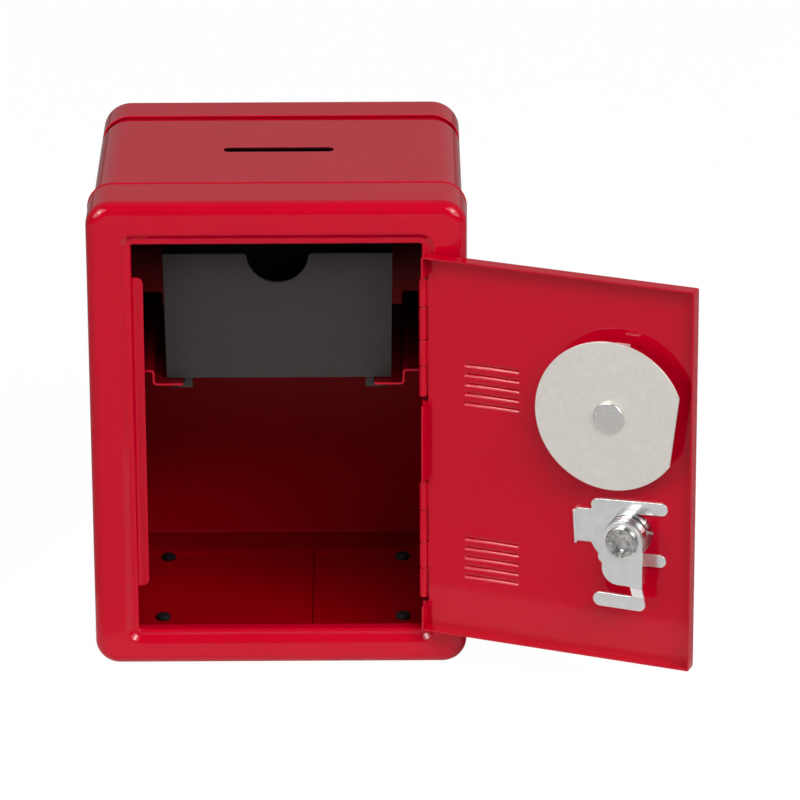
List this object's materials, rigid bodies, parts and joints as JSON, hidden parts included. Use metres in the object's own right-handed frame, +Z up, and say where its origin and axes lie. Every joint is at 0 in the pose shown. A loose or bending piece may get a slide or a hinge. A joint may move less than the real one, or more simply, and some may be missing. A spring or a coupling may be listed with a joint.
{
  "type": "money box",
  "caption": "Sheet metal toy safe with coin slot, hinged door, dial, key lock and sliding coin tray.",
  "frame": {"origin": "centre of the rear cover's outer face", "axes": "+X to the right seen from the front, +Y from the doorway to the back, +Z up"},
  "size_m": [0.191, 0.1479, 0.1589],
  "materials": {
    "red_enamel": "glossy stoved enamel on sheet steel",
    "black_rubber": "matt moulded rubber",
    "hinge_steel": "drawn wire",
    "scale_aluminium": "satin, with printed numbers",
    "bush_brass": "turned",
    "washer_brass": "stamped",
    "knob_plastic": "moulded, gloss",
    "spindle_steel": "turned and riveted",
    "galvanised_steel": "galvanised sheet, satin",
    "lock_chrome": "chromed die-cast zinc",
    "zinc_plate": "zinc plated sheet",
    "key_steel": "nickel plated",
    "tray_plastic": "moulded, slightly grained"
  },
  "bodies": {
    "cabinet": {"front_frame": "red_enamel", "body_sleeve": "red_enamel", "rear_cover": "red_enamel", "push_in_feet": "black_rubber", "left_rail": "red_enamel", "right_rail": "red_enamel", "upper_hinge_pin": "hinge_steel", "lower_hinge_pin": "hinge_steel"},
    "door": {"door_panel": "red_enamel", "dial_scale_ring": "scale_aluminium", "spindle_bush": "bush_brass", "lock_barrel": "lock_chrome", "lock_clip": "zinc_plate"},
    "dial": {"dial_knob": "knob_plastic", "dial_spindle": "spindle_steel", "gate_washer": "washer_brass", "gate_disc": "galvanised_steel"},
    "lock": {"lock_plug": "lock_chrome", "lock_cam": "zinc_plate", "cam_cap": "zinc_plate"},
    "key": {"key": "key_steel"},
    "tray": {"coin_tray": "tray_plastic"}
  },
  "joints": [
    {"name": "door_hinge", "type": "hinge", "parent": "cabinet", "child": "door", "pos_m": [0.04615, -0.1086, 0], "axis": [0, 0, 1], "range_deg": [-158, 0]},
    {"name": "dial_turn", "type": "hinge", "parent": "door", "child": "dial", "pos_m": [0.10642, -0.13295, 0.0186], "axis": [-0.3746, -0.9272, 0], "continuous": true},
    {"name": "lock_turn", "type": "hinge", "parent": "door", "child": "lock", "pos_m": [0.11142, -0.13497, -0.0224], "axis": [-0.3746, -0.9272, 0], "range_deg": [0, 90]},
    {"name": "key_pull", "type": "slide", "parent": "lock", "child": "key", "axis": [0.3746, 0.9272, 0], "range_m": [0, 0.02]},
    {"name": "tray_slide", "type": "slide", "parent": "cabinet", "child": "tray", "axis": [0, -1, 0], "range_m": [0, 0.06]}
  ]
}
